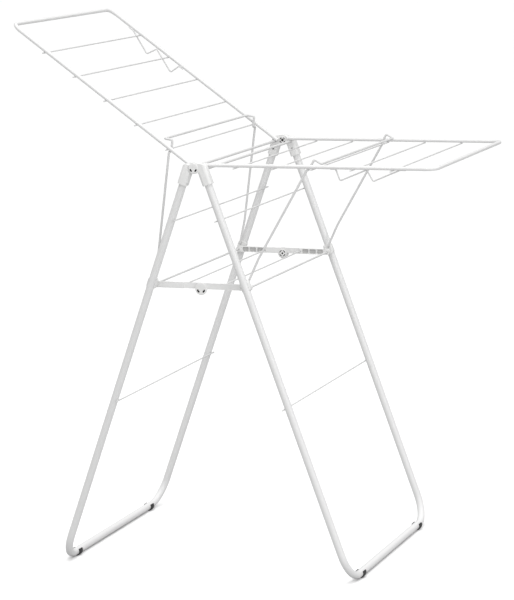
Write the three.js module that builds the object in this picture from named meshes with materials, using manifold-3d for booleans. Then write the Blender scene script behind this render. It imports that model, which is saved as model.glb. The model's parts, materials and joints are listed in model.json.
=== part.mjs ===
// Folding clothes drying rack with two hooked wings.
// Millimetres, +Z up. X runs across the rack from the left wing to the right wing,
// Y runs along the rails from the near side to the far side, and the origin is on the
// floor under the middle of the rack.

import * as THREE from 'three';
import * as BufferGeometryUtils from 'three/addons/utils/BufferGeometryUtils.js';
import Module from 'manifold-3d';

const wasm = await Module();
wasm.setup();

// ---- driving dimensions -------------------------------------------------------------

// frame
const HUB_HEIGHT = 970;             // hinge axis above the floor
const FRAME_SPACING = 617;          // near leg plane to far leg plane
const LEG_TILT = 19.87;             // degrees from upright, when open
const LEG_OFFSET = 16.65;           // leg axis to hinge axis, square to the leg
const LEG_R = 9;                    // leg tube, diameter 18
const LEG_START = 20;               // top end of the tube, measured down the leg
const LEG_BEND = 63;                // bottom bend, to the tube's centre line
const GAP = 0.3;                    // between pieces that touch

// feet
const FOOT_WALL = 2.2;
const FOOT_LENGTH = 18;
const FOOT_OPENING = 110;           // degrees left open at the top
const FOOT_FLAT = 40;               // degrees of the clip cut flat for the floor
const FOOT_PLACE = 78;              // middle of a foot, from the leg plane

// wires
const WIRE_R = 1.75;                // crossbars and leg wires, diameter 3.5
const LEG_WIRE_END = 14;            // end of a leg wire, outside the leg plane
const LEG_WIRES = { left: [133, 597.5], right: [133, 597.5] };

// wings
const PIVOT_X = 21.5;               // pivot bar from the hinge axis
const PIVOT_DROP = 3;
const PIVOT_R = 3.25;
const PIVOT_END = 5;                // end of a pivot bar, from the leg plane
const RAIL_R = 4.5;                 // wing tube, diameter 9
const RAIL_INSET = 17;              // rail from the leg plane
const RAIL_LIFT = RAIL_R + PIVOT_R + GAP;
const RAIL_START = 15;              // inner end of a rail, from the hinge axis
const WING_REACH = 572;             // outer bar from the hinge axis
const WING_BEND = 25;
const CROSSBAR_FIRST = 90.5;
const CROSSBAR_PITCH = 94.5;
const CROSSBAR_COUNT = 5;
const CROSSBAR_STUB = 4.5;          // crossbar past the outside of the rail
const WING_ANGLE = { left: 36.1, right: 0.3 };

// hanger wires, drawn as [distance along the wing, height from the rail's centre]
const HANGER_R = 1.75;
const HANGER_SIDE = 5;              // wire's centre from the rail's centre
const HANGER_BEND = 4;
const HANGER_LINE = [
  [322, -4.3], [335, -4.3], [345, -31], [409, -5], [424, -31], [488, -4.3], [502, -4.3],
];

// hinge brackets
const LUG_R = 13;
const BRACKET_HALF = 12;            // half width and half thickness
const BRACKET_CORNER = 10;
const BRACKET_TOP = 3;              // above the hinge axis, over the leg
const BRACKET_END = 47;             // below the hinge axis, along the leg
const LUG_GAP = 0.4;
const HUB_PIN_R = 4;
const HUB_HEAD_R = 12.2;
const HUB_CAP_R = 8.5;
const SLEEVE_SCREW_PLACE = 29;
const SCREW_R = 2.8;
const SCREW_STEM_R = 1.6;

// struts
const STRUT_R = 2.75;
const STRUT_S = 291.65;             // pivot down the leg
const STRUT_T = 20.5;               // pivot out from the hinge axis
const STRUT_LOWER = 62;
const STRUT_KINK = 5;
const STRUT_UPPER = 243;
const STRUT_JOG = 14;
const STRUT_NECK = 27;
const STRUT_HOOK = 19.5;
const STRUT_BEND = 4;
const STRUT_LEAN = { left: -7.87, right: 30.24 };

// folding brace
const BRACE_S = 304.07;             // axle down the leg, on the leg's own axis
const BRACE_HEIGHT = 14.3;
const BRACE_INSET = 20.5;           // outer face of a bar, from the leg plane
const BRACE_THICK = 6;
const TONGUE_THICK = 2.8;
const TONGUE_LENGTH = 44;
const KNEE_DROP = 6.7;              // knee pin below the middle of the bars
const KNEE_EYE_R = 6.8;
const KNEE_HUB_R = 15;
const KNEE_CAP_R = 11;
const KNEE_PIN_R = 4;
const AXLE_R = 2.5;
const BRACE_WIRE_PLACE = 47;        // from the knee
const POCKETS = [[53, 69], [72, 89], [92, 108]];
const POCKET_WALL = 1.6;

// brace brackets on the legs
const SADDLE_FACE = 13.6;           // inner face, from the leg plane
const SADDLE_BACK = -2.5;
const SADDLE_HALF_WIDTH = 11.2;
const SADDLE_START = 284.5;
const SADDLE_END = 311.5;
const WIRE_HOLE_END = 1.5;          // bottom of the holes drilled in the leg tube

// segments around a tube or a wire
const LEG_SIDES = 20;
const RAIL_SIDES = 14;
const WIRE_SIDES = 8;
const ROD_SIDES = 12;
const BEND_STEPS = 6;

const SIDES = [['left', -1], ['right', 1]];
const ENDS = [['near', 0, 1], ['far', FRAME_SPACING, -1]];

const WHITE_PAINT = { color: 0xf2f2f0, roughness: 0.35, metalness: 0.1 };
const WHITE_PLASTIC = { color: 0xf4f4f2, roughness: 0.45, metalness: 0 };
const BLACK_PLASTIC = { color: 0x1c1c1d, roughness: 0.6, metalness: 0 };
const DARK_STEEL = { color: 0x3a3b3d, roughness: 0.4, metalness: 0.8 };

const radians = THREE.MathUtils.degToRad;

// ---- making solids ------------------------------------------------------------------

const rack = new THREE.Group();

function addPiece(parent, name, geometry, finish) {
  const mesh = new THREE.Mesh(geometry, new THREE.MeshStandardMaterial(finish));
  mesh.name = name;
  parent.add(mesh);
  return mesh;
}

function toSolid(geometry) {
  const bare = geometry.index ? geometry.clone() : geometry;
  bare.deleteAttribute('normal');
  bare.deleteAttribute('uv');
  const merged = BufferGeometryUtils.mergeVertices(bare, 1e-4);
  return new wasm.Manifold(new wasm.Mesh({
    numProp: 3,
    vertProperties: new Float32Array(merged.attributes.position.array),
    triVerts: new Uint32Array(merged.index.array),
  }));
}

function toGeometry(solid) {
  const mesh = solid.getMesh();
  const geometry = new THREE.BufferGeometry();
  geometry.setAttribute('position', new THREE.BufferAttribute(mesh.vertProperties, 3));
  geometry.setIndex(new THREE.BufferAttribute(mesh.triVerts, 1));
  const faceted = geometry.toNonIndexed();
  faceted.computeVertexNormals();
  return faceted;
}

// A path of straight runs joined by arcs: one station at each end and a few along each bend.
class BentPath extends THREE.Curve {
  constructor(corners, bend, steps = BEND_STEPS) {
    super();
    this.stations = [];
    const last = corners.length - 1;
    for (let i = 0; i <= last; i += 1) {
      const before = corners[Math.max(i - 1, 0)];
      const after = corners[Math.min(i + 1, last)];
      const into = corners[i].clone().sub(before).normalize();
      const out = after.clone().sub(corners[i]).normalize();
      if (i === 0) this.addStation(corners[i], out);
      else if (i === last) this.addStation(corners[i], into);
      else this.addBend(corners[i], into, out, bend, steps);
    }
  }

  addStation(point, tangent) {
    this.stations.push({ point: point.clone(), tangent: tangent.clone() });
  }

  addBend(corner, into, out, bend, steps) {
    const turn = into.angleTo(out);
    const setback = bend * Math.tan(turn / 2);
    const start = corner.clone().addScaledVector(into, -setback);
    const axis = into.clone().cross(out).normalize();
    const toCentre = axis.clone().cross(into);
    const centre = start.clone().addScaledVector(toCentre, bend);
    for (let k = 0; k <= steps; k += 1) {
      const angle = (turn * k) / steps;
      const spoke = toCentre.clone().negate().applyAxisAngle(axis, angle);
      this.addStation(
        centre.clone().addScaledVector(spoke, bend),
        into.clone().applyAxisAngle(axis, angle),
      );
    }
  }

  stationAt(u) {
    return this.stations[Math.round(u * (this.stations.length - 1))];
  }

  getPointAt(u, target = new THREE.Vector3()) {
    return target.copy(this.stationAt(u).point);
  }

  getPoint(u, target = new THREE.Vector3()) {
    return this.getPointAt(u, target);
  }

  getTangentAt(u, target = new THREE.Vector3()) {
    return target.copy(this.stationAt(u).tangent);
  }
}

function rodGeometry(corners, radius, sides, bend = 1, steps = BEND_STEPS) {
  const section = new THREE.Shape();
  for (let k = 0; k < sides; k += 1) {
    const angle = (2 * Math.PI * k) / sides;
    const x = radius * Math.cos(angle);
    const y = radius * Math.sin(angle);
    if (k === 0) section.moveTo(x, y);
    else section.lineTo(x, y);
  }
  const path = new BentPath(corners, bend, steps);
  return new THREE.ExtrudeGeometry(section, {
    steps: path.stations.length - 1,
    extrudePath: path,
    bevelEnabled: false,
  });
}

// A straight round bar along Y.
function crossRod(x, z, from, to, radius, sides) {
  const ends = [new THREE.Vector3(x, from, z), new THREE.Vector3(x, to, z)];
  return rodGeometry(ends, radius, sides);
}

// An outline in X and Z, given thickness along Y.
function plateGeometry(shape, from, to, curveSegments = 10) {
  const geometry = new THREE.ExtrudeGeometry(shape, {
    depth: to - from,
    bevelEnabled: false,
    curveSegments,
  });
  geometry.rotateX(Math.PI / 2);
  geometry.translate(0, to, 0);
  return geometry;
}

function diskShape(x, z, radius) {
  const shape = new THREE.Shape();
  shape.absarc(x, z, radius, 0, 2 * Math.PI, false);
  return shape;
}

function roundedShape(x0, z0, x1, z1, r) {
  const shape = new THREE.Shape();
  shape.moveTo(x0 + r, z0);
  shape.lineTo(x1 - r, z0);
  shape.absarc(x1 - r, z0 + r, r, -Math.PI / 2, 0, false);
  shape.lineTo(x1, z1 - r);
  shape.absarc(x1 - r, z1 - r, r, 0, Math.PI / 2, false);
  shape.lineTo(x0 + r, z1);
  shape.absarc(x0 + r, z1 - r, r, Math.PI / 2, Math.PI, false);
  shape.lineTo(x0, z0 + r);
  shape.absarc(x0 + r, z0 + r, r, Math.PI, 1.5 * Math.PI, false);
  return shape;
}

// A round body turned about Y: profile points are [radius, y], from one end to the other.
function turnedGeometry(profile, x, z, segments = 20) {
  const points = profile.map(([r, y]) => new THREE.Vector2(r, y));
  const geometry = new THREE.LatheGeometry(points, segments);
  geometry.translate(x, 0, z);
  return geometry;
}

// ---- leg frames ---------------------------------------------------------------------

// A leg frame's own axes: z runs back up the leg from the hinge axis, x runs outwards.
function legGroup(direction) {
  const group = new THREE.Group();
  group.position.set(0, 0, HUB_HEIGHT);
  group.rotation.y = -direction * radians(LEG_TILT);
  rack.add(group);
  return group;
}

// Distance down the leg at which the tube's axis is at a given height.
function alongLegAtHeight(height) {
  const tilt = radians(LEG_TILT);
  return (HUB_HEIGHT - height + LEG_OFFSET * Math.sin(tilt)) / Math.cos(tilt);
}

// Turns a place in the leg's own axes into the rack's, for the right-hand leg.
function placeOnLeg(s, t) {
  const tilt = radians(LEG_TILT);
  return {
    x: s * Math.sin(tilt) + t * Math.cos(tilt),
    z: HUB_HEIGHT - s * Math.cos(tilt) + t * Math.sin(tilt),
  };
}

const FOOT_R = LEG_R + GAP + FOOT_WALL;
const BAR_HEIGHT = FOOT_R * Math.cos(radians(FOOT_FLAT / 2));
const LEG_END = alongLegAtHeight(BAR_HEIGHT);

// One tube: down a near leg, along the floor and up the far leg. Each upright is drilled
// from the inside for the strut's foot and the brace's axle.
function legTube(direction) {
  const x = direction * LEG_OFFSET;
  const corners = [
    new THREE.Vector3(x, 0, -LEG_START),
    new THREE.Vector3(x, 0, -LEG_END),
    new THREE.Vector3(x, FRAME_SPACING, -LEG_END),
    new THREE.Vector3(x, FRAME_SPACING, -LEG_START),
  ];
  let tube = toSolid(rodGeometry(corners, LEG_R, LEG_SIDES, LEG_BEND, 8));
  for (const [, y, inward] of ENDS) {
    tube = tube.subtract(wireHole(direction * STRUT_T, -STRUT_S, STRUT_R, y, inward));
    tube = tube.subtract(wireHole(x, -BRACE_S, AXLE_R, y, inward));
  }
  return toGeometry(tube);
}

function wireHole(x, z, radius, y, inward) {
  const from = y + inward * WIRE_HOLE_END;
  const to = y + inward * (LEG_R + 12);
  return toSolid(plateGeometry(diskShape(x, z, radius + GAP), Math.min(from, to), Math.max(from, to)));
}

function legWire(direction, place) {
  const x = direction * (LEG_OFFSET - LEG_R - WIRE_R - GAP);
  return crossRod(x, -place, -LEG_WIRE_END, FRAME_SPACING + LEG_WIRE_END, WIRE_R, WIRE_SIDES);
}

// A clip of black plastic snapped up over the bottom bar, with a flat to stand on.
function footClip(x, y) {
  const inner = LEG_R + GAP;
  const open = radians(FOOT_OPENING / 2);
  const flat = radians(FOOT_FLAT / 2);
  const up = Math.PI / 2;
  const down = 1.5 * Math.PI;
  const shape = new THREE.Shape();
  shape.absarc(0, 0, FOOT_R, up + open, down - flat, false);
  shape.absarc(0, 0, FOOT_R, down + flat, down + Math.PI - open, false);
  shape.absarc(0, 0, inner, down + Math.PI - open, up + open, true);
  const geometry = plateGeometry(shape, -FOOT_LENGTH / 2, FOOT_LENGTH / 2, 8);
  geometry.translate(x, y, BAR_HEIGHT);
  return geometry;
}

// ---- hinge brackets -----------------------------------------------------------------

// A moulded bracket in the leg's own axes: a block over the top of the leg tube, with a lug
// that laps its partner's at the hinge axis. The lug takes one half of the thickness.
// It is bored for the leg tube, the hub pin, the wing's pivot bar and a screw.
function hingeBracket(direction, lugSide, inward) {
  const axis = direction * LEG_OFFSET;
  const outline = roundedShape(
    axis - BRACKET_HALF, -BRACKET_END, axis + BRACKET_HALF, BRACKET_TOP, BRACKET_CORNER,
  );
  const section = roundedShape(
    axis - BRACKET_HALF, -BRACKET_HALF, axis + BRACKET_HALF, BRACKET_HALF, 7,
  );
  const upright = new THREE.ExtrudeGeometry(section, {
    depth: BRACKET_END + 40,
    bevelEnabled: false,
    curveSegments: 4,
  });
  upright.translate(0, 0, -BRACKET_END);
  const silhouette = squareEnd(outline, axis);
  const block = toSolid(upright).intersect(silhouette);
  const partnerLow = lugSide > 0 ? -BRACKET_HALF - 1 : -LUG_GAP / 2;
  const partnerHigh = lugSide > 0 ? LUG_GAP / 2 : BRACKET_HALF + 1;
  const partner = toSolid(plateGeometry(diskShape(0, 0, LUG_R + 0.6), partnerLow, partnerHigh, 14));
  return block.subtract(partner)
    .add(lugSolid(direction, lugSide))
    .subtract(verticalSolid(axis, -BRACKET_END - 1, -LEG_START + GAP, LEG_R + GAP))
    .subtract(hole(0, 0, HUB_PIN_R + GAP, -20, 20))
    .subtract(pivotBore(direction, inward))
    .subtract(screwBore(axis, -SLEEVE_SCREW_PLACE, inward));
}

// The bracket's side view: rounded above, square where the leg tube comes out.
function squareEnd(outline, axis) {
  const rounded = toSolid(plateGeometry(outline, -20, 20, 6));
  const low = roundedShape(
    axis - BRACKET_HALF, -BRACKET_END, axis + BRACKET_HALF, -BRACKET_END + 20, 1,
  );
  return rounded.add(toSolid(plateGeometry(low, -20, 20, 2)));
}

function lugSolid(direction, lugSide) {
  const low = lugSide > 0 ? LUG_GAP / 2 : -BRACKET_HALF;
  const high = lugSide > 0 ? BRACKET_HALF : -LUG_GAP / 2;
  const disk = toSolid(plateGeometry(diskShape(0, 0, LUG_R), low, high, 16));
  return disk.add(toSolid(plateGeometry(shoulderShape(direction), low, high, 2)));
}

// The slope from the lug down to the sleeve, tangent to the disk and the outer corner.
function shoulderShape(direction) {
  const x = LEG_OFFSET + BRACKET_HALF - BRACKET_CORNER;
  const z = BRACKET_TOP - BRACKET_CORNER;
  const slope = Math.atan2(z, x) + Math.acos((LUG_R - BRACKET_CORNER) / Math.hypot(x, z));
  const corners = [
    [0, -LUG_R],
    [0, 0],
    [LUG_R * Math.cos(slope), LUG_R * Math.sin(slope)],
    [x + BRACKET_CORNER * Math.cos(slope), z + BRACKET_CORNER * Math.sin(slope)],
    [x, z],
    [LEG_OFFSET, -LUG_R],
  ];
  return new THREE.Shape(corners.map(([t, s]) => new THREE.Vector2(direction * t, s)));
}

// Where a wing's pivot bar lies, in the leg's own axes.
function pivotBore(direction, inward) {
  const tilt = radians(LEG_TILT);
  const t = PIVOT_X * Math.cos(tilt) - PIVOT_DROP * Math.sin(tilt);
  const s = PIVOT_X * Math.sin(tilt) + PIVOT_DROP * Math.cos(tilt);
  const from = inward * (PIVOT_END - 0.5);
  const to = inward * (BRACKET_HALF + 5);
  return hole(direction * t, -s, PIVOT_R + GAP, Math.min(from, to), Math.max(from, to));
}

function screwBore(x, z, inward) {
  const from = inward * (LEG_R - 1);
  const to = inward * (BRACKET_HALF + 5);
  return hole(x, z, SCREW_STEM_R + GAP, Math.min(from, to), Math.max(from, to));
}

function hole(x, z, radius, from, to) {
  return toSolid(plateGeometry(diskShape(x, z, radius), from, to, 10));
}

function verticalSolid(x, from, to, radius) {
  const ends = [new THREE.Vector3(x, 0, from), new THREE.Vector3(x, 0, to)];
  return toSolid(rodGeometry(ends, radius, LEG_SIDES));
}

// The hub pin: a broad domed head on the outside of the rack and a plain stem.
function hubPin(inward) {
  const face = BRACKET_HALF + GAP;
  const profile = [
    [0, -face - 1.6], [HUB_HEAD_R - 1.4, -face - 1.6], [HUB_HEAD_R, -face - 0.8], [HUB_HEAD_R, -face],
    [HUB_PIN_R, -face], [HUB_PIN_R, face + 0.9], [0, face + 0.9],
  ];
  return facing(turnedGeometry(profile, 0, 0, 28), inward);
}

// The ring pushed on to the stem where it comes out on the inside.
function hubCap(inward) {
  const face = BRACKET_HALF + GAP;
  const bore = HUB_PIN_R + GAP;
  const profile = [
    [bore, face], [HUB_CAP_R, face], [HUB_CAP_R, face + 0.8], [HUB_CAP_R - 0.7, face + 1.5],
    [bore, face + 1.5], [bore, face],
  ];
  return facing(turnedGeometry(profile, 0, 0, 28), inward);
}

// Pieces are drawn for the near end; the far end's are turned to face the other way.
function facing(geometry, inward) {
  if (inward < 0) geometry.rotateZ(Math.PI);
  return geometry;
}

function sleeveScrew(direction, inward) {
  const face = BRACKET_HALF + GAP;
  const profile = [
    [0, LEG_R + 0.6], [SCREW_STEM_R, LEG_R + 0.6], [SCREW_STEM_R, face], [SCREW_R, face],
    [SCREW_R, face + 0.4], [SCREW_R - 0.9, face + 1], [0, face + 1],
  ];
  const geometry = facing(turnedGeometry(profile, 0, 0, 14), inward);
  geometry.translate(direction * LEG_OFFSET, 0, -SLEEVE_SCREW_PLACE);
  return geometry;
}

// ---- wings --------------------------------------------------------------------------

// A wing's own axes: x runs out along the wing from its pivot bar, z runs square to it.
function wingGroup(side, direction) {
  const group = new THREE.Group();
  group.position.set(direction * PIVOT_X, 0, HUB_HEIGHT - PIVOT_DROP);
  group.rotation.y = -direction * radians(WING_ANGLE[side]);
  rack.add(group);
  return group;
}

// One tube: out along the near rail, across the outer end and back along the far rail.
function wingTube(direction) {
  const near = RAIL_INSET;
  const far = FRAME_SPACING - RAIL_INSET;
  const inner = direction * (RAIL_START - PIVOT_X);
  const outer = direction * (WING_REACH - PIVOT_X);
  const corners = [
    new THREE.Vector3(inner, near, RAIL_LIFT),
    new THREE.Vector3(outer, near, RAIL_LIFT),
    new THREE.Vector3(outer, far, RAIL_LIFT),
    new THREE.Vector3(inner, far, RAIL_LIFT),
  ];
  return rodGeometry(corners, RAIL_R, RAIL_SIDES, WING_BEND, 6);
}

function crossbar(direction, index) {
  const x = direction * (CROSSBAR_FIRST + index * CROSSBAR_PITCH - PIVOT_X);
  const z = RAIL_LIFT - RAIL_R - WIRE_R - GAP;
  const end = RAIL_INSET - RAIL_R - CROSSBAR_STUB;
  return crossRod(x, z, end, FRAME_SPACING - end, WIRE_R, WIRE_SIDES);
}

// A zigzag of thin wire beside one rail, whose notches keep coat hangers apart.
function hangerWire(direction, rail, inward) {
  const y = rail + inward * HANGER_SIDE;
  const corners = HANGER_LINE.map(([reach, height]) => new THREE.Vector3(
    direction * (reach - PIVOT_X), y, RAIL_LIFT + height,
  ));
  return rodGeometry(corners, HANGER_R, WIRE_SIDES, HANGER_BEND, 4);
}

// ---- struts -------------------------------------------------------------------------

// A strut's own axes: the origin is its pivot in the brace bracket, z runs up the upright.
function strutGroup(side, direction) {
  const place = placeOnLeg(STRUT_S, STRUT_T);
  const group = new THREE.Group();
  group.position.set(direction * place.x, 0, place.z);
  group.rotation.y = direction * radians(STRUT_LEAN[side]);
  rack.add(group);
  return group;
}

// One bent wire: a foot in each leg, two uprights, a shoulder under each rail,
// a neck and a hook inside the rail, and a bar across the top of the wing.
function strutWire(direction) {
  const kink = radians(STRUT_KINK);
  const lean = -STRUT_LOWER * Math.sin(kink);
  const knee = STRUT_LOWER * Math.cos(kink);
  const shoulder = knee + STRUT_UPPER;
  const top = shoulder + STRUT_NECK;
  const inner = RAIL_INSET + STRUT_JOG;
  const half = [
    [0, WIRE_HOLE_END + 0.5, 0],
    [0, RAIL_INSET, 0],
    [lean, RAIL_INSET, knee],
    [lean, RAIL_INSET, shoulder],
    [lean, inner, shoulder],
    [lean, inner, top],
    [lean + STRUT_HOOK, inner, top],
  ];
  const near = half.map(([x, y, z]) => new THREE.Vector3(direction * x, y, z));
  const far = near.map((p) => new THREE.Vector3(p.x, FRAME_SPACING - p.y, p.z)).reverse();
  return rodGeometry(near.concat(far), STRUT_R, ROD_SIDES, STRUT_BEND, 4);
}

// ---- folding brace ------------------------------------------------------------------

const AXLE = placeOnLeg(BRACE_S, LEG_OFFSET);
const KNEE_HEIGHT = AXLE.z - KNEE_DROP;

// A plate cut from an outline, between two distances in from a leg plane.
function layerSolid(shape, y, inward, from, to) {
  const a = y + inward * from;
  const b = y + inward * to;
  return toSolid(plateGeometry(shape, Math.min(a, b), Math.max(a, b), 8));
}

// A flat moulded bar: full thickness from the axle's eye to the lap, then a thin tongue to
// the knee. The right bar's tongue is the outer one and the left bar's the inner one.
function braceBar(direction, y, inward) {
  const half = BRACE_HEIGHT / 2;
  const face = BRACE_INSET;
  const back = face + BRACE_THICK;
  const tongueFrom = direction > 0 ? face : back - TONGUE_THICK;
  const tongueTo = direction > 0 ? face + TONGUE_THICK : back;
  const x0 = direction * TONGUE_LENGTH;
  const x1 = direction * (AXLE.x + half);
  const main = roundedShape(Math.min(x0, x1), AXLE.z - half, Math.max(x0, x1), AXLE.z + half, 1);
  const round = roundedShape(
    direction > 0 ? 0 : -AXLE.x - half, AXLE.z - half,
    direction > 0 ? AXLE.x + half : 0, AXLE.z + half, half - 0.1,
  );
  const t0 = -direction * 4;
  const t1 = direction * (TONGUE_LENGTH + 2);
  const tongue = roundedShape(Math.min(t0, t1), AXLE.z - half, Math.max(t0, t1), AXLE.z + half, 1);
  let bar = layerSolid(main, y, inward, face, back).intersect(layerSolid(round, y, inward, face, back));
  bar = bar.add(layerSolid(tongue, y, inward, tongueFrom, tongueTo));
  bar = bar.add(layerSolid(diskShape(0, KNEE_HEIGHT, KNEE_EYE_R), y, inward, tongueFrom, tongueTo));
  for (const [from, to] of POCKETS) {
    bar = bar.subtract(pocket(direction, from, to, y, inward));
  }
  const axleHole = diskShape(direction * AXLE.x, AXLE.z, AXLE_R + GAP);
  const kneeHole = diskShape(0, KNEE_HEIGHT, KNEE_PIN_R + GAP);
  const wireHoleShape = diskShape(direction * BRACE_WIRE_PLACE, AXLE.z, WIRE_R + GAP);
  return bar
    .subtract(layerSolid(axleHole, y, inward, face - 5, back + 5))
    .subtract(layerSolid(kneeHole, y, inward, face - 5, back + 5))
    .subtract(layerSolid(wireHoleShape, y, inward, face + 1.6, back + 5));
}

// A hollow in the bar's inner face, between two stiffening ribs.
function pocket(direction, from, to, y, inward) {
  const half = BRACE_HEIGHT / 2 - POCKET_WALL;
  const low = Math.min(direction * from, direction * to);
  const high = Math.max(direction * from, direction * to);
  const shape = roundedShape(low, AXLE.z - half, high, AXLE.z + half, 2);
  return layerSolid(shape, y, inward, BRACE_INSET + POCKET_WALL, BRACE_INSET + BRACE_THICK + 5);
}

function braceAxle(direction) {
  const end = WIRE_HOLE_END + 0.5;
  return crossRod(direction * AXLE.x, AXLE.z, end, FRAME_SPACING - end, AXLE_R, ROD_SIDES);
}

function braceWire(direction) {
  const end = BRACE_INSET + 1.9;
  return crossRod(
    direction * BRACE_WIRE_PLACE, AXLE.z, end, FRAME_SPACING - end, WIRE_R, WIRE_SIDES,
  );
}

// The knee's outer hub, a broad disk on a short stem that fits the right bar's tongue.
function kneeHub(y, inward) {
  const face = BRACE_INSET - GAP;
  const tail = BRACE_INSET + TONGUE_THICK - 0.1;
  const profile = [
    [0, face - 1.6], [KNEE_HUB_R - 1.5, face - 1.6], [KNEE_HUB_R, face - 0.7], [KNEE_HUB_R, face],
    [KNEE_PIN_R, face], [KNEE_PIN_R, tail], [0, tail],
  ];
  const geometry = facing(turnedGeometry(profile, 0, 0, 30), inward);
  geometry.translate(0, y, KNEE_HEIGHT);
  return geometry;
}

// The knee's inner cap, on a short stem that fits the left bar's tongue.
function kneeCap(y, inward) {
  const face = BRACE_INSET + BRACE_THICK + GAP;
  const tail = BRACE_INSET + BRACE_THICK - TONGUE_THICK + 0.1;
  const profile = [
    [0, tail], [KNEE_PIN_R, tail], [KNEE_PIN_R, face], [KNEE_CAP_R, face],
    [KNEE_CAP_R, face + 0.7], [KNEE_CAP_R - 0.8, face + 1.4], [0, face + 1.4],
  ];
  const geometry = facing(turnedGeometry(profile, 0, 0, 24), inward);
  geometry.translate(0, y, KNEE_HEIGHT);
  return geometry;
}

// A moulded saddle snapped round the inner side of the leg tube. It spaces the brace's
// axle and the strut's foot off the tube and is bored for both.
function saddle(direction, inward) {
  const axis = direction * LEG_OFFSET;
  const low = Math.min(inward * SADDLE_BACK, inward * SADDLE_FACE);
  const high = Math.max(inward * SADDLE_BACK, inward * SADDLE_FACE);
  const section = roundedShape(axis - SADDLE_HALF_WIDTH, low, axis + SADDLE_HALF_WIDTH, high, 3);
  const length = SADDLE_END - SADDLE_START;
  const bar = new THREE.ExtrudeGeometry(section, {
    depth: length,
    bevelEnabled: false,
    curveSegments: 4,
  });
  bar.translate(0, 0, -SADDLE_END);
  const outline = roundedShape(
    axis - SADDLE_HALF_WIDTH, -SADDLE_END, axis + SADDLE_HALF_WIDTH, -SADDLE_START, 8,
  );
  return toSolid(bar)
    .intersect(toSolid(plateGeometry(outline, -30, 30, 6)))
    .subtract(verticalSolid(axis, -SADDLE_END - 1, -SADDLE_START + 1, LEG_R + GAP))
    .subtract(wireHole(direction * STRUT_T, -STRUT_S, STRUT_R, 0, inward))
    .subtract(wireHole(axis, -BRACE_S, AXLE_R, 0, inward));
}

// ---- the rack -----------------------------------------------------------------------

function addLeg(side, direction) {
  const leg = legGroup(direction);
  addPiece(leg, `${side}_leg_frame`, legTube(direction), WHITE_PAINT);
  LEG_WIRES[side].forEach((place, index) => {
    const level = index === 0 ? 'upper' : 'lower';
    addPiece(leg, `${side}_leg_wire_${level}`, legWire(direction, place), WHITE_PAINT);
  });
  const barX = placeOnLeg(LEG_END, LEG_OFFSET).x;
  for (const [end, y, inward] of ENDS) {
    const lugSide = direction > 0 ? -inward : inward;
    const bracket = toGeometry(hingeBracket(direction, lugSide, inward));
    const placed = [
      addPiece(leg, `${side}_hinge_bracket_${end}`, bracket, WHITE_PLASTIC),
      addPiece(leg, `${side}_bracket_screw_${end}`, sleeveScrew(direction, inward), DARK_STEEL),
      addPiece(leg, `${side}_saddle_${end}`, toGeometry(saddle(direction, inward)), WHITE_PLASTIC),
    ];
    placed.forEach((mesh) => mesh.position.setY(y));
    const foot = footClip(direction * barX, y + inward * FOOT_PLACE);
    addPiece(rack, `${side}_foot_${end}`, foot, BLACK_PLASTIC);
  }
}

function addWing(side, direction) {
  const wing = wingGroup(side, direction);
  addPiece(wing, `${side}_wing_frame`, wingTube(direction), WHITE_PAINT);
  for (let index = 0; index < CROSSBAR_COUNT; index += 1) {
    addPiece(wing, `${side}_crossbar_${index + 1}`, crossbar(direction, index), WHITE_PAINT);
  }
  const pivot = crossRod(0, 0, PIVOT_END, FRAME_SPACING - PIVOT_END, PIVOT_R, ROD_SIDES);
  addPiece(wing, `${side}_pivot_bar`, pivot, WHITE_PAINT);
  const rail = direction > 0 ? RAIL_INSET : FRAME_SPACING - RAIL_INSET;
  addPiece(wing, `${side}_hanger_wire`, hangerWire(direction, rail, direction), WHITE_PAINT);
}

function addBraceHalf(side, direction) {
  for (const [end, y, inward] of ENDS) {
    const bar = toGeometry(braceBar(direction, y, inward));
    addPiece(rack, `${side}_brace_bar_${end}`, bar, WHITE_PLASTIC);
  }
  addPiece(rack, `${side}_brace_axle`, braceAxle(direction), WHITE_PAINT);
  addPiece(rack, `${side}_brace_wire`, braceWire(direction), WHITE_PAINT);
}

for (const [side, direction] of SIDES) {
  addLeg(side, direction);
  addWing(side, direction);
  addPiece(strutGroup(side, direction), `${side}_strut`, strutWire(direction), WHITE_PAINT);
  addBraceHalf(side, direction);
}

for (const [end, y, inward] of ENDS) {
  const pin = addPiece(rack, `hub_pin_${end}`, hubPin(inward), WHITE_PLASTIC);
  pin.position.set(0, y, HUB_HEIGHT);
  const cap = addPiece(rack, `hub_cap_${end}`, hubCap(inward), WHITE_PLASTIC);
  cap.position.set(0, y, HUB_HEIGHT);
  addPiece(rack, `knee_hub_${end}`, kneeHub(y, inward), WHITE_PLASTIC);
  addPiece(rack, `knee_cap_${end}`, kneeCap(y, inward), WHITE_PLASTIC);
}

// The origin goes to the floor, under the middle of the rack's whole outline.
const box = new THREE.Box3().setFromObject(rack, true);
rack.position.set(-(box.min.x + box.max.x) / 2, -(box.min.y + box.max.y) / 2, -box.min.z);
rack.updateMatrixWorld(true);

const part = new THREE.Group();
part.add(rack);

export default part;
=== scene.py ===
"""A folding clothes drying rack: two bent tube legs, two wings of crossbars, struts and a brace."""

import json
import math

import bmesh
import bpy
from mathutils import Matrix, Vector


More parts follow.
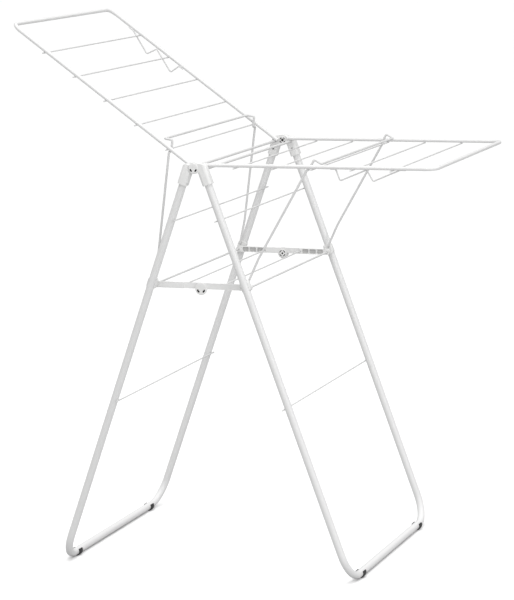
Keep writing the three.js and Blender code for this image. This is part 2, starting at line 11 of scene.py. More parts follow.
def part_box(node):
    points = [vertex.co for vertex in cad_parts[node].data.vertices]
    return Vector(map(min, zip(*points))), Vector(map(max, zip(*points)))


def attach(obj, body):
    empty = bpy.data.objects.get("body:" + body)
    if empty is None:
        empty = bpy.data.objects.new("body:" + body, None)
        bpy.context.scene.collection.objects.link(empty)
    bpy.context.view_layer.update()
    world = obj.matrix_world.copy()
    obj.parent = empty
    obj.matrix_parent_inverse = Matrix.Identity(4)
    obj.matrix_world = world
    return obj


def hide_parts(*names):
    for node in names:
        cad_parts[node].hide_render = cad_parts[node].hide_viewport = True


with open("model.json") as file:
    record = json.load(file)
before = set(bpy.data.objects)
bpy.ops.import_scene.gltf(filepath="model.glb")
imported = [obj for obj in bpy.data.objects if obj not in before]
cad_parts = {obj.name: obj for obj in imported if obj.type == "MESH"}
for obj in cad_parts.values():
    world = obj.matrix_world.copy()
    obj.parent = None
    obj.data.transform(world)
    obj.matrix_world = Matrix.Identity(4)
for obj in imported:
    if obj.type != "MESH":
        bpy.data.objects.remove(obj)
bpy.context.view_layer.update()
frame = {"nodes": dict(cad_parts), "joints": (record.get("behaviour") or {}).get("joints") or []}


# ---- White powder coat ----------------------------------------------------------------
# Every tube and wire is mild steel, degreased, sprayed with white polyester powder and
# baked. The film is about 80 microns thick and keeps a very fine orange peel.

def surface_grain_group():
    """Fine relief and slight soiling, shared by the coated steel and the mouldings."""
    group = bpy.data.node_groups.new("surface grain", "ShaderNodeTree")
    face = group.interface
    for name, kind, value in (
        ("Colour", "NodeSocketColor", (0.8, 0.8, 0.8, 1)),
        ("Roughness", "NodeSocketFloat", 0.4),
        ("Grain per metre", "NodeSocketFloat", 900),
        ("Depth", "NodeSocketFloat", 0.1),
        ("Soiling", "NodeSocketFloat", 0.04),
    ):
        socket = face.new_socket(name=name, in_out="INPUT", socket_type=kind)
        socket.default_value = value
    face.new_socket(name="Colour", in_out="OUTPUT", socket_type="NodeSocketColor")
    face.new_socket(name="Roughness", in_out="OUTPUT", socket_type="NodeSocketFloat")
    face.new_socket(name="Normal", in_out="OUTPUT", socket_type="NodeSocketVector")
    add, link = group.nodes.new, group.links.new
    given, put = add("NodeGroupInput"), add("NodeGroupOutput")
    place = add("ShaderNodeTexCoord")

    peel = add("ShaderNodeTexNoise")
    peel.inputs["Detail"].default_value = 2
    link(place.outputs["Object"], peel.inputs["Vector"])
    link(given.outputs["Grain per metre"], peel.inputs["Scale"])
    bump = add("ShaderNodeBump")
    bump.inputs["Distance"].default_value = 0.0002
    link(given.outputs["Depth"], bump.inputs["Strength"])
    link(peel.outputs["Fac"], bump.inputs["Height"])
    link(bump.outputs["Normal"], put.inputs["Normal"])

    cloud = add("ShaderNodeTexNoise")
    cloud.inputs["Scale"].default_value = 14
    cloud.inputs["Detail"].default_value = 5
    link(place.outputs["Object"], cloud.inputs["Vector"])
    amount = add("ShaderNodeMath")
    amount.operation = "MULTIPLY"
    link(cloud.outputs["Fac"], amount.inputs[0])
    link(given.outputs["Soiling"], amount.inputs[1])
    darker = add("ShaderNodeMix")
    darker.data_type = "RGBA"
    darker.blend_type = "MULTIPLY"
    darker.inputs["B"].default_value = (0.72, 0.70, 0.66, 1)
    link(amount.outputs[0], darker.inputs["Factor"])
    link(given.outputs["Colour"], darker.inputs["A"])
    link(darker.outputs["Result"], put.inputs["Colour"])
    rough = add("ShaderNodeMath")
    rough.operation = "ADD"
    link(given.outputs["Roughness"], rough.inputs[0])
    link(amount.outputs[0], rough.inputs[1])
    link(rough.outputs[0], put.inputs["Roughness"])
    return group


grain = surface_grain_group()


def finish_of(name, colour, roughness, per_metre, depth, soiling, metallic=0.0, coat=0.0):
    """A material whose surface carries the shared grain at its own size and depth."""
    material = bpy.data.materials.new(name)
    material.use_nodes = True
    nodes, link = material.node_tree.nodes, material.node_tree.links.new
    shader = nodes["Principled BSDF"]
    shader.inputs["Metallic"].default_value = metallic
    shader.inputs["Coat Weight"].default_value = coat
    shader.inputs["Coat Roughness"].default_value = 0.25
    surface = nodes.new("ShaderNodeGroup")
    surface.node_tree = grain
    surface.inputs["Colour"].default_value = (*colour, 1)
    surface.inputs["Roughness"].default_value = roughness
    surface.inputs["Grain per metre"].default_value = per_metre
    surface.inputs["Depth"].default_value = depth
    surface.inputs["Soiling"].default_value = soiling
    link(surface.outputs["Colour"], shader.inputs["Base Color"])
    link(surface.outputs["Roughness"], shader.inputs["Roughness"])
    link(surface.outputs["Normal"], shader.inputs["Normal"])
    return material


tube_paint = finish_of("white_tube", (0.76, 0.76, 0.76), 0.30, 1100, 0.10, 0.05, coat=0.2)
wire_paint = finish_of("white_wire", (0.68, 0.68, 0.68), 0.32, 1400, 0.08, 0.06, coat=0.2)


# ---- Leg frames -----------------------------------------------------------------------
# Each frame is one 18 mm steel tube bent twice on a 63 mm former, so that one piece makes
# the near leg, the bar on the floor and the far leg. The top ends stop inside the hinges.

SIDES = {"left": -1, "right": 1}
hub = Vector(next(j["pos_m"] for j in frame["joints"] if j["name"] == "legs_fold"))
LEG_RADIUS = 0.009
near_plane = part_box("right_leg_frame")[0][1] + LEG_RADIUS
far_plane = -near_plane
tilt = math.radians(19.87)
LEG_OFFSET = 0.01665
LEG_BEND = 0.063


def bent_path(corners, bend, steps=10):
    """Stations (point, direction) along straight runs joined by arcs."""
    stations = [(corners[0], (corners[1] - corners[0]).normalized())]
    for before, corner, after in zip(corners, corners[1:], corners[2:]):
        into, out = (corner - before).normalized(), (after - corner).normalized()
        turn = into.angle(out)
        start = corner - into * bend * math.tan(turn / 2)
        axis = into.cross(out).normalized()
        to_centre = axis.cross(into)
        centre = start + to_centre * bend
        for k in range(steps + 1):
            swing = Matrix.Rotation(turn * k / steps, 3, axis)
            stations.append((centre - (swing @ to_centre) * bend, swing @ into))
    stations.append((corners[-1], (corners[-1] - corners[-2]).normalized()))
    return stations


def end_rings(radius, ending):
    """(distance in from the end, radius) for the rings that finish a tube's end."""
    if ending == "open":
        wall, edge = 0.0009, 0.0003
        return [(0.007, radius - wall), (edge, radius - wall), (0, radius - wall + edge),
                (0, radius - edge), (edge, radius)]
    edge = radius * 0.45
    rings = []
    for k in range(5):
        angle = math.pi / 2 * k / 4
        rings.append((edge * (1 - math.cos(angle)), radius - edge * (1 - math.sin(angle))))
    return rings


def skin(mesh, loops):
    """Joins rings of equal size with four-sided faces and closes both ends."""
    sides = len(loops[0])
    for a, b in zip(loops, loops[1:]):
        for k in range(sides):
            mesh.faces.new((a[k], a[(k + 1) % sides], b[(k + 1) % sides], b[k]))
    mesh.faces.new(list(reversed(loops[0])))
    mesh.faces.new(loops[-1])


def bent_tube(name, corners, radius, bend, body, paint, nodes, ending="round", sides=24):
    """A round bar or tube swept along a bent path, with finished ends."""
    stations = bent_path([Vector(c) for c in corners], bend)
    rings = end_rings(radius, ending)
    first, last = stations[0], stations[-1]
    sections = [(first[0] + first[1] * d, first[1], r) for d, r in rings]
    sections += [(p, t, radius) for p, t in stations[1:-1]]
    sections += [(last[0] - last[1] * d, last[1], r) for d, r in reversed(rings)]
    mesh = bmesh.new()
    side = sections[0][1].orthogonal().normalized()
    before = sections[0][1]
    loops = []
    for point, direction, r in sections:
        side = before.rotation_difference(direction) @ side
        side = (side - direction * side.dot(direction)).normalized()
        other = direction.cross(side)
        before = direction
        loop = []
        for k in range(sides):
            angle = 2 * math.pi * k / sides
            reach = side * math.cos(angle) + other * math.sin(angle)
            loop.append(mesh.verts.new(point + reach * r))
        loops.append(loop)
    skin(mesh, loops)
    return placed(name, mesh, body, paint, nodes)


def placed(name, mesh, body, paint, nodes=()):
    """Turns a bmesh into a finished object that rides on a CAD body."""
    data = bpy.data.meshes.new(name)
    bmesh.ops.recalc_face_normals(mesh, faces=mesh.faces)
    mesh.to_mesh(data)
    mesh.free()
    data.materials.append(paint)
    data.shade_smooth()
    data.set_sharp_from_angle(angle=math.radians(40))
    piece = bpy.data.objects.new(name, data)
    bpy.context.scene.collection.objects.link(piece)
    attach(piece, body)
    if nodes:
        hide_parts(*nodes)
    return piece


def on_leg(side, down, out, y=0.0):
    """A place given as distance down the leg and out from the hinge line."""
    return Vector((
        hub.x + SIDES[side] * (down * math.sin(tilt) + out * math.cos(tilt)),
        y,
        hub.z - down * math.cos(tilt) + out * math.sin(tilt),
    ))


LEG_TOP = 0.020
floor_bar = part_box("right_leg_frame")[0][2] + LEG_RADIUS
leg_length = (hub.z - floor_bar + LEG_OFFSET * math.sin(tilt)) / math.cos(tilt)

for side in SIDES:
    bent_tube(
        f"{side}_leg_tube",
        [
            on_leg(side, LEG_TOP, LEG_OFFSET, near_plane),
            on_leg(side, leg_length, LEG_OFFSET, near_plane),
            on_leg(side, leg_length, LEG_OFFSET, far_plane),
            on_leg(side, LEG_TOP, LEG_OFFSET, far_plane),
        ],
        LEG_RADIUS, LEG_BEND, f"{side}_legs", tube_paint,
        [f"{side}_leg_frame"], "open", 40,
    )


# ---- Leg wires ------------------------------------------------------------------------
# Two 3.5 mm wires tie each leg frame together. They are spot welded to the inner side of
# the tube with a short stub past it, before the frame is coated.

ALONG = Vector((0, 1, 0))


def middle(node):
    """The centre of a CAD node's box."""
    low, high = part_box(node)
    return (Vector(low) + Vector(high)) / 2


def weld_beads(name, places, radius, body):
    """Small flattened blobs of weld metal under the coating, one at each joint."""
    mesh = bmesh.new()
    for place, along in places:
        turn = along.to_track_quat("Z", "Y").to_matrix().to_4x4()
        stretched = Matrix.Diagonal((radius, radius, radius * 1.5, 1))
        shape = Matrix.Translation(place) @ turn @ stretched
        bmesh.ops.create_icosphere(mesh, subdivisions=2, radius=1, matrix=shape)
    return placed(name, mesh, body, wire_paint)


def straight_wire(node, radius, body):
    """A straight wire along the rack, with rounded ends, in place of its CAD node."""
    low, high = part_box(node)
    centre = middle(node)
    start = Vector((centre.x, low[1], centre.z))
    end = Vector((centre.x, high[1], centre.z))
    mesh = bmesh.new()
    rings = [(start + ALONG * d, r) for d, r in end_rings(radius, "round")]
    rings += [(end - ALONG * d, r) for d, r in reversed(end_rings(radius, "round"))]
    sides = 18
    loops = []
    for point, r in rings:
        loops.append([
            mesh.verts.new(point + Vector((math.cos(a), 0, math.sin(a))) * r)
            for a in (2 * math.pi * k / sides for k in range(sides))
        ])
    skin(mesh, loops)
    return placed(f"{node}_finished", mesh, body, wire_paint, [node])


WIRE_RADIUS = 0.00175

for side in SIDES:
    beads = []
    for level in ("upper", "lower"):
        node = f"{side}_leg_wire_{level}"
        straight_wire(node, WIRE_RADIUS, f"{side}_legs")
        outward = Vector((SIDES[side] * math.cos(tilt), 0, math.sin(tilt)))
        contact = middle(node) + outward * (WIRE_RADIUS + 0.0001)
        for y in (near_plane, far_plane):
            beads.append((Vector((contact.x, y, contact.z)), ALONG))
    weld_beads(f"{side}_leg_wire_welds", beads, 0.0019, f"{side}_legs")


# ---- Feet -----------------------------------------------------------------------------
# Black polypropylene clips, snapped over the bottom bar just inside each bend. Their
# undersides are flat, so that the coated tube never touches the floor.

foot_plastic = finish_of("black_plastic", (0.018, 0.018, 0.019), 0.5, 2500, 0.25, 0.10)


def softened(node, body, paint, edge):
    """A moulding with its edges eased, built from the CAD node that it replaces."""
    mesh = bmesh.new()
    mesh.from_mesh(frame["nodes"][node].data)
    bmesh.ops.remove_doubles(mesh, verts=mesh.verts, dist=2e-6)
    bmesh.ops.dissolve_limit(mesh, angle_limit=math.radians(2), verts=mesh.verts, edges=mesh.edges)
    piece = placed(f"{node}_finished", mesh, body, paint, [node])
    easing = piece.modifiers.new("eased edges", "BEVEL")
    easing.width = edge
    easing.segments = 3
    easing.limit_method = "ANGLE"
    easing.angle_limit = math.radians(38)
    easing.harden_normals = False
    easing.use_clamp_overlap = True
    return piece


ENDS = ("near", "far")

for side in SIDES:
    for end in ENDS:
        softened(f"{side}_foot_{end}", f"{side}_legs", foot_plastic, 0.0005)


# ---- Hinge brackets -------------------------------------------------------------------
# Injection moulded in white polypropylene. Each one caps a leg tube, holds the end of a
# wing's pivot bar and laps its partner at the hinge line. A screw pins it to the tube.

moulded_white = finish_of("white_plastic", (0.79, 0.79, 0.785), 0.42, 2200, 0.12, 0.04)

for side in SIDES:
    for end in ENDS:
        node = f"{side}_hinge_bracket_{end}"
        softened(node, f"{side}_legs", moulded_white, 0.0011)


# ---- Bracket screws -------------------------------------------------------------------
# Blackened pan head screws, 5.6 mm across the head, with a cross recess. One is driven
# through the inner face of each hinge bracket into the leg tube.

screw_steel = finish_of("dark_steel", (0.05, 0.05, 0.053), 0.35, 1800, 0.05, 0.05, metallic=0.9)
# A near-black material: painted shade for the walls of the slots and bores cut into the mouldings.
recess_painted_shade = finish_of("recess_painted_black_shade", (0.006, 0.006, 0.006), 0.8, 900, 0.0, 0.0)


def turned(name, profile, centre, facing, body, paint, nodes, sides=48):
    """A round piece turned about Y. The profile is (radius, distance) from the centre."""
    mesh = bmesh.new()
    loops = []
    for radius, distance in profile:
        y = centre.y + facing * distance
        if radius == 0:
            loops.append([mesh.verts.new((centre.x, y, centre.z))])
            continue
        loops.append([
            mesh.verts.new((centre.x + radius * math.cos(a), y, centre.z + radius * math.sin(a)))
            for a in (2 * math.pi * k / sides for k in range(sides))
        ])
    for a, b in zip(loops, loops[1:]):
        for k in range(sides):
            n = (k + 1) % sides
            if len(a) == 1:
                mesh.faces.new((a[0], b[n], b[k]))
            elif len(b) == 1:
                mesh.faces.new((a[k], a[n], b[0]))
            else:
                mesh.faces.new((a[k], a[n], b[n], b[k]))
    return placed(name, mesh, body, paint, nodes)


def cut(piece, cutter_mesh):
    """Cuts a shape out of a piece and paints the walls of the cut near-black, as painted shade."""
    bmesh.ops.recalc_face_normals(cutter_mesh, faces=cutter_mesh.faces)
    data = bpy.data.meshes.new("cutter")
    cutter_mesh.to_mesh(data)
    cutter_mesh.free()
    data.materials.append(recess_painted_shade)
    tool = bpy.data.objects.new("cutter", data)
    bpy.context.scene.collection.objects.link(tool)
    piece.data.materials.append(recess_painted_shade)
    modifier = piece.modifiers.new("cut", "BOOLEAN")
    modifier.object = tool
    modifier.operation = "DIFFERENCE"
    modifier.solver = "EXACT"
    modifier.material_mode = "TRANSFER"
    bpy.context.view_layer.update()
    finished = piece.evaluated_get(bpy.context.evaluated_depsgraph_get())
    shaped = bpy.data.meshes.new_from_object(finished)
    piece.modifiers.clear()
    piece.data = shaped
    bpy.data.objects.remove(tool)
    return piece


for side in SIDES:
    for end, inward in (("near", 1), ("far", -1)):
        node = f"{side}_bracket_screw_{end}"
        low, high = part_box(node)
        centre = middle(node)
        centre.y = low[1] if inward > 0 else high[1]
        head = (high[0] - low[0]) / 2
        length = high[1] - low[1]
        stem = 0.0016
        turned(
            f"{node}_finished",
            [(0, 0), (stem, 0), (stem, length - 0.001), (head, length - 0.001),
             (head, length - 0.0006), (head * 0.8, length - 0.0002),
             (head * 0.45, length), (0, length)],
            centre, inward, f"{side}_legs", screw_steel, [node], 28,
        )


# ---- Hub pins and caps ----------------------------------------------------------------
# A moulded pin joins the two lapped lugs at each end. It has a broad head with two curved
# slots on the outside, and a ring is pushed over its hollow end on the inside.

SLOT_DEPTH = 0.0013


def curved_slots(centre, radius, width, angles, face, inward):
    """Cutter for slots that follow a circle round the centre, sunk from one face."""
    mesh = bmesh.new()
    steps = 8
    for start, end in angles:
        rows = []
        for k in range(steps + 1):
            angle = math.radians(start + (end - start) * k / steps)
            ease = math.sqrt(max(0.0, 1 - (2 * k / steps - 1) ** 4)) * 0.5 + 0.12
            row = []
            for offset, depth in ((-1, -1), (1, -1), (1, 1), (-1, 1)):
                r = radius + offset * width * ease
                y = face + inward * depth * SLOT_DEPTH
                row.append(mesh.verts.new((
                    centre.x + r * math.cos(angle), y, centre.z + r * math.sin(angle),
                )))
            rows.append(row)
        for a, b in zip(rows, rows[1:]):
            for k in range(4):
                mesh.faces.new((a[k], a[(k + 1) % 4], b[(k + 1) % 4], b[k]))
        mesh.faces.new(rows[0])
        mesh.faces.new(list(reversed(rows[-1])))
    return mesh


LOWER_SLOTS = ((188, 244), (296, 352))


def round_hole(centre, radius, face, depth):
    """Cutter for a round hole sunk from one face."""
    mesh = bmesh.new()
    across = Matrix.Rotation(math.pi / 2, 4, "X")
    place = Matrix.Translation((centre.x, face, centre.z)) @ across
    bmesh.ops.create_cone(
        mesh, cap_ends=True, segments=32, radius1=radius, radius2=radius,
        depth=2 * depth, matrix=place,
    )
    return mesh


for end, inward in (("near", 1), ("far", -1)):
    node = f"hub_pin_{end}"
    low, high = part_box(node)
    face = low[1] if inward > 0 else high[1]
    centre = Vector((hub.x, face, hub.z))
    head = (high[0] - low[0]) / 2
    length = high[1] - low[1]
    pin = turned(
        f"hub_pin_{end}_finished",
        [(0, 0.0003), (head * 0.5, 0.0001), (head - 0.0016, 0.0001), (head - 0.0006, 0.0004),
         (head - 0.0001, 0.0010), (head - 0.0001, 0.0016), (0.004, 0.0016),
         (0.004, length - 0.0003),
         (0.0037, length), (0, length)],
        centre, inward, "left_legs", moulded_white, [node],
    )
    # The walls of the slots and the bore are painted near-black as shade.
    cut(pin, curved_slots(centre, 0.0076, 0.0032, LOWER_SLOTS, face, inward))
    cut(pin, round_hole(centre, 0.0031, face + inward * length, 0.006))

    node = f"hub_cap_{end}"
    low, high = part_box(node)
    outer = low[1] if inward > 0 else high[1]
    centre = Vector((hub.x, outer, hub.z))
    ring = (high[0] - low[0]) / 2
    washer = turned(
        f"hub_cap_{end}_finished",
        [(0.0043, 0), (ring, 0), (ring, 0.0008), (ring - 0.0003, 0.0012), (ring - 0.0008, 0.0015),
         (0.0046, 0.0015), (0.0043, 0.0012), (0.0043, 0)],
        centre, inward, "left_legs", moulded_white, [node],
    )
    quarters = ((15, 75), (105, 165), (195, 255), (285, 345))
    top = outer + inward * 0.0019
    cut(washer, curved_slots(centre, 0.0064, 0.0018, quarters, top, -inward))


# ---- Wing frames ----------------------------------------------------------------------
# Each wing is one 9 mm tube bent into a U. The rails' inner ends stay open and are welded
# on top of the pivot bar, which turns in the hinge brackets.

RAIL_RADIUS = 0.0045
PIVOT_RADIUS = 0.00325
RAIL_LIFT = 0.00805
PIVOT_X = 0.0215
WING_START = 0.015 - PIVOT_X
WING_END = 0.572 - PIVOT_X
WING_BEND = 0.025
WING_RISE = {"left": math.radians(36.1), "right": math.radians(0.3)}
RAIL_INSET = 0.017
rails = {"near": near_plane + RAIL_INSET, "far": far_plane - RAIL_INSET}


def on_wing(side, out, up, y=0.0):
    """A place given as distance out from the pivot bar and height square to the wing."""
    pivot = middle(f"{side}_pivot_bar")
    rise = WING_RISE[side]
    return Vector((
        pivot.x + SIDES[side] * (out * math.cos(rise) - up * math.sin(rise)),
        y,
        pivot.z + out * math.sin(rise) + up * math.cos(rise),
    ))


for side in SIDES:
    bent_tube(
        f"{side}_wing_tube",
        [
            on_wing(side, WING_START, RAIL_LIFT, rails["near"]),
            on_wing(side, WING_END, RAIL_LIFT, rails["near"]),
            on_wing(side, WING_END, RAIL_LIFT, rails["far"]),
            on_wing(side, WING_START, RAIL_LIFT, rails["far"]),
        ],
        RAIL_RADIUS, WING_BEND, f"{side}_wing", tube_paint,
        [f"{side}_wing_frame"], "open", 28,
    )


# ---- Pivot bars and crossbars ---------------------------------------------------------
# Straight cut wire, welded under the rails: a 6.5 mm pivot bar at the hinge and five
# 3.5 mm crossbars that carry the laundry, each with a short stub outside the rail.

for side in SIDES:
    body = f"{side}_wing"
    straight_wire(f"{side}_pivot_bar", PIVOT_RADIUS, body)
    beads = []
    for y in rails.values():
        beads.append((on_wing(side, 0, PIVOT_RADIUS, y), ALONG))
    for number in range(1, 6):
        node = f"{side}_crossbar_{number}"
        straight_wire(node, WIRE_RADIUS, body)
        up = Vector((-SIDES[side] * math.sin(WING_RISE[side]), 0, math.cos(WING_RISE[side])))
        contact = middle(node) + up * (WIRE_RADIUS + 0.0001)
        for y in rails.values():
            beads.append((Vector((contact.x, y, contact.z)), ALONG))
    weld_beads(f"{side}_wing_welds", beads, 0.0019, body)


# ---- Hanger wires ---------------------------------------------------------------------
# A 3.5 mm wire pressed into a zigzag and welded beside one rail of each wing. The notches
# keep coat hangers apart. The left wing has it at the far end, the right at the near end.

# (metres out along the wing, millimetres above the rail's centre)
HANGER_LINE = (
    (0.322, -4.3), (0.335, -4.3), (0.345, -31), (0.409, -5),
    (0.424, -31), (0.488, -4.3), (0.502, -4.3),
)
WIRE_BEND = 0.004

for side, end, inward in (("left", "far", -1), ("right", "near", 1)):
    y = rails[end] + inward * 0.005
    line = [on_wing(side, out - PIVOT_X, RAIL_LIFT + up / 1000, y) for out, up in HANGER_LINE]
    bent_tube(
        f"{side}_hanger_zigzag", line, WIRE_RADIUS, WIRE_BEND, f"{side}_wing",
        wire_paint, [f"{side}_hanger_wire"], sides=16,
    )
    beside = rails[end] + inward * 0.0035
    touches = [
        (on_wing(side, out - PIVOT_X, RAIL_LIFT - 0.0026, beside), ALONG)
        for out in (0.328, 0.409, 0.495)
    ]
    weld_beads(f"{side}_hanger_wire_welds", touches, 0.0017, f"{side}_wing")


# ---- Struts ---------------------------------------------------------------------------
# A 5.5 mm sprung wire loop props each wing. Its feet turn into the legs, its shoulders sit
# under the rails, and its hooks reach over a crossbar to the bar across the top.

STRUT_RADIUS = 0.00275
STRUT_LEAN = {"left": math.radians(-7.87), "right": math.radians(30.24)}
STRUT_KINK = math.radians(5)
STRUT_LOWER = 0.062
STRUT_UPPER = 0.243
STRUT_NECK = 0.027
STRUT_HOOK = 0.0195
STRUT_FOOT = 0.002
STRUT_JOG = 0.014
strut_foot = {"left": on_leg("left", 0.29165, 0.0205), "right": on_leg("right", 0.29165, 0.0205)}

for side, sign in SIDES.items():
    lean = STRUT_LEAN[side]
    upright = Vector((sign * math.sin(lean), 0, math.cos(lean)))
    outward = Vector((sign * math.cos(lean), 0, -math.sin(lean)))
    start = strut_foot[side]
    rise, lean_in = STRUT_LOWER * math.cos(STRUT_KINK), STRUT_LOWER * math.sin(STRUT_KINK)
    bend_point = start + upright * rise - outward * lean_in
    shoulder = bend_point + upright * STRUT_UPPER
    top = shoulder + upright * STRUT_NECK
    hook = top + outward * STRUT_HOOK
    neck_inset = RAIL_INSET + STRUT_JOG
    half = [
        (start, STRUT_FOOT), (start, RAIL_INSET), (bend_point, RAIL_INSET),
        (shoulder, RAIL_INSET), (shoulder, neck_inset), (top, neck_inset), (hook, neck_inset),
    ]
    near_half = [Vector((p.x, near_plane + inset, p.z)) for p, inset in half]
    far_half = [Vector((p.x, far_plane - inset, p.z)) for p, inset in reversed(half)]
    bent_tube(
        f"{side}_strut_wire", near_half + far_half, STRUT_RADIUS, WIRE_BEND, f"{side}_strut",
        wire_paint, [f"{side}_strut"], sides=20,
    )


# ---- Saddles --------------------------------------------------------------------------
# White mouldings snapped round the inner side of each leg. Each is bored right through for
# the brace's axle and the strut's foot, and keeps both square to the tube.

for side in SIDES:
    for end in ENDS:
        softened(f"{side}_saddle_{end}", f"{side}_legs", moulded_white, 0.0008)


# ---- Folding brace --------------------------------------------------------------------
# Two flat mouldings at each end meet at a knee that drops just past straight to lock the
# legs open. Ribbed hollows face the middle; thick and thin wires join near and far.

# A grey copy of the white moulding: painted shade for the floors of the ribbed hollows.
pocket_shade = finish_of("pocket_floor_painted_shade", (0.55, 0.55, 0.545), 0.6, 2200, 0.12, 0.10)
BAR_INSET = 0.0205
POCKET_WALL = 0.0016
AXLE_RADIUS = 0.0025

for side in SIDES:
    body = f"{side}_brace"
    for end, outer in (("near", near_plane + BAR_INSET), ("far", far_plane - BAR_INSET)):
        bar = softened(f"{side}_brace_bar_{end}", body, moulded_white, 0.0006)
        # Faces lying on the pocket floors take the grey, as painted shade in the hollows.
        bar.data.materials.append(pocket_shade)
        for face in bar.data.polygons:
            if abs(abs(face.center.y - outer) - POCKET_WALL) < 0.0003 and abs(face.normal.y) > 0.9:
                face.material_index = 1
    straight_wire(f"{side}_brace_axle", AXLE_RADIUS, body)
    straight_wire(f"{side}_brace_wire", WIRE_RADIUS, body)


# ---- Knee hubs and caps ---------------------------------------------------------------
# A 30 mm disk with two curved slots covers each knee on the outside, riding on the right
# half. A smaller cap closes the inner side and rides on the left half.

for end, inward in (("near", 1), ("far", -1)):
    node = f"knee_hub_{end}"
    low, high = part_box(node)
    face = low[1] if inward > 0 else high[1]
    knee = middle(node)
    centre = Vector((hub.x, face, knee.z))
    head = (high[2] - low[2]) / 2
    length = high[1] - low[1]
    disk = turned(
        f"knee_hub_{end}_finished",
        [(0, 0.0004), (head * 0.42, 0.0001), (head * 0.80, 0), (head * 0.92, 0.0003),
         (head - 0.0003, 0.0008), (head - 0.0003, 0.0016), (0.004, 0.0016),
         (0.004, length), (0, length)],
        centre, inward, "right_brace", moulded_white, [node],
    )
    # The walls of the slots, the cap's slots and its bore are painted near-black as shade.
    cut(disk, curved_slots(centre, 0.0088, 0.0034, LOWER_SLOTS, face, inward))

    node = f"knee_cap_{end}"
    low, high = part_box(node)
    deep = low[1] if inward > 0 else high[1]
    centre = Vector((hub.x, deep, middle(node).z))
    cap = (high[2] - low[2]) / 2
    length = high[1] - low[1]
    button = turned(
        f"knee_cap_{end}_finished",
        [(0, 0), (0.004, 0), (0.004, length - 0.0014), (cap, length - 0.0014),
         (cap, length - 0.0007), (cap - 0.0003, length - 0.0003), (cap - 0.001, length),
         (0, length)],
        centre, inward, "left_brace", moulded_white, [node],
    )
    shallow = deep + inward * (length + 0.0008)
    quarters = ((10, 80), (100, 170), (190, 260), (280, 350))
    cut(button, curved_slots(centre, 0.0072, 0.0018, quarters, shallow, -inward))
    cut(button, round_hole(centre, 0.0024, deep + inward * length, 0.003))


# ---- Floor ----------------------------------------------------------------------------
# A seamless sweep of pale painted board. It is seen as clean white, with soft contact
# shadows under the bottom bars, and throws back only half of its light.

def studio_floor(thrown_back):
    """A large matte sheet that throws back the given share of its light."""
    mesh = bmesh.new()
    bmesh.ops.create_grid(mesh, x_segments=1, y_segments=1, size=40)
    data = bpy.data.meshes.new("studio_floor")
    mesh.to_mesh(data)
    mesh.free()
    floor = bpy.data.objects.new("studio_floor", data)
    bpy.context.scene.collection.objects.link(floor)
    board = bpy.data.materials.new("pale_board")
    board.use_nodes = True
    nodes, link = board.node_tree.nodes, board.node_tree.links.new
    seen = nodes["Principled BSDF"]
    seen.inputs["Base Color"].default_value = (0.97, 0.97, 0.97, 1)
    seen.inputs["Roughness"].default_value = 1.0
    seen.inputs["Specular IOR Level"].default_value = 0.0
    bounce = nodes.new("ShaderNodeBsdfDiffuse")
    bounce.inputs["Color"].default_value = (thrown_back, thrown_back, thrown_back, 1)
    ray = nodes.new("ShaderNodeLightPath")
    either = nodes.new("ShaderNodeMixShader")
    link(ray.outputs["Is Camera Ray"], either.inputs[0])
    link(bounce.outputs[0], either.inputs[1])
    link(seen.outputs[0], either.inputs[2])
    link(either.outputs[0], nodes["Material Output"].inputs["Surface"])
    data.materials.append(board)
    return floor


BOUNCE = 0.47
studio_floor(BOUNCE)


# ---- Light ----------------------------------------------------------------------------
# A white tent, bright overhead and dim at the sides, keeps grey edges on the round bars but
# is seen as plain white. A tall softbox at the right draws a highlight down each bar, a
# second stands in front, and a broad one hangs overhead.

def softbox(name, place, width, height, power):
    """A rectangular light aimed at the middle of the rack."""
    data = bpy.data.lights.new(name, "AREA")
    data.shape = "RECTANGLE"
    data.size, data.size_y = width, height
    data.energy = power
    lamp = bpy.data.objects.new(name, data)
    lamp.location = place
    aim = Vector((0, 0, 0.6)) - Vector(place)
    lamp.rotation_euler = aim.to_track_quat("-Z", "Y").to_euler()
    bpy.context.scene.collection.objects.link(lamp)


softbox("right_softbox", (4.6, -2.6, 1.8), 1.2, 3.0, 45)
softbox("front_softbox", (2.0, -5.2, 2.6), 1.6, 1.6, 45)
softbox("overhead_softbox", (0.5, -0.8, 5.0), 3.5, 3.5, 60)

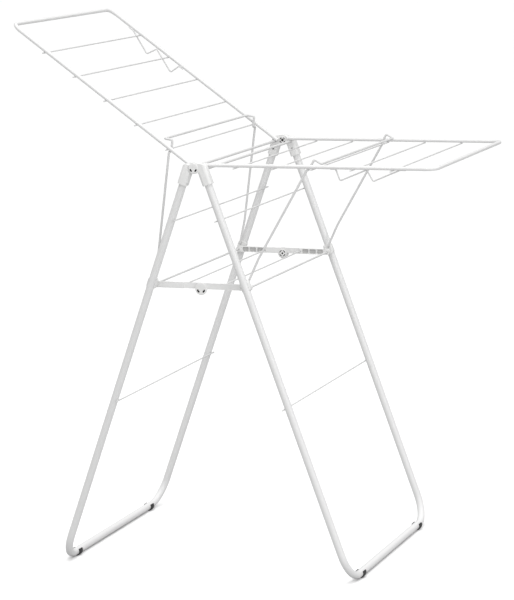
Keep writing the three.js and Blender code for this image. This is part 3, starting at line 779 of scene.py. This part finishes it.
tent = bpy.data.worlds.new("white_tent")
tent.use_nodes = True
tent_nodes, tent_link = tent.node_tree.nodes, tent.node_tree.links.new
sky_place = tent_nodes.new("ShaderNodeTexCoord")
sky_height = tent_nodes.new("ShaderNodeSeparateXYZ")
sky_ramp = tent_nodes.new("ShaderNodeValToRGB")
sky_ramp.color_ramp.elements[0].position = 0.0
sky_ramp.color_ramp.elements[0].color = (0.22, 0.22, 0.22, 1)
sky_ramp.color_ramp.elements[1].position = 0.8
sky_ramp.color_ramp.elements[1].color = (1, 1, 1, 1)
tent_link(sky_place.outputs["Generated"], sky_height.inputs[0])
tent_link(sky_height.outputs["Z"], sky_ramp.inputs["Fac"])
seen_directly = tent_nodes.new("ShaderNodeLightPath")
backdrop = tent_nodes.new("ShaderNodeMix")
backdrop.data_type = "RGBA"
backdrop.inputs["B"].default_value = (1, 1, 1, 1)
tent_link(seen_directly.outputs["Is Camera Ray"], backdrop.inputs["Factor"])
tent_link(sky_ramp.outputs["Color"], backdrop.inputs["A"])
tent_link(backdrop.outputs["Result"], tent_nodes["Background"].inputs["Color"])
tent_nodes["Background"].inputs["Strength"].default_value = 1.25
bpy.context.scene.world = tent
bpy.context.scene.view_settings.view_transform = "Standard"


# ---- Camera ---------------------------------------------------------------------------
# A long lens, well back and above the rack, twenty degrees round to the right, tipped
# down by nearly ten and rolled by one.

azimuth, elevation, roll = math.radians(20.22), math.radians(9.60), math.radians(-1.1)
ahead = Vector((
    -math.sin(azimuth) * math.cos(elevation),
    math.cos(azimuth) * math.cos(elevation),
    -math.sin(elevation),
))
right = Vector((math.cos(azimuth), math.sin(azimuth), 0))
upward = right.cross(ahead)
right, upward = (
    right * math.cos(roll) + upward * math.sin(roll),
    upward * math.cos(roll) - right * math.sin(roll),
)
lens = bpy.data.cameras.new("camera")
lens.sensor_fit = "VERTICAL"
lens.sensor_height = 36
lens.lens = 157.7
lens.clip_end = 100
camera = bpy.data.objects.new("camera", lens)
turned_to = Matrix((right, upward, -ahead)).transposed().to_4x4()
camera.matrix_world = Matrix.Translation((hub.x + 2.2184, near_plane - 5.6268, 1.6801)) @ turned_to
bpy.context.scene.collection.objects.link(camera)
bpy.context.scene.camera = camera
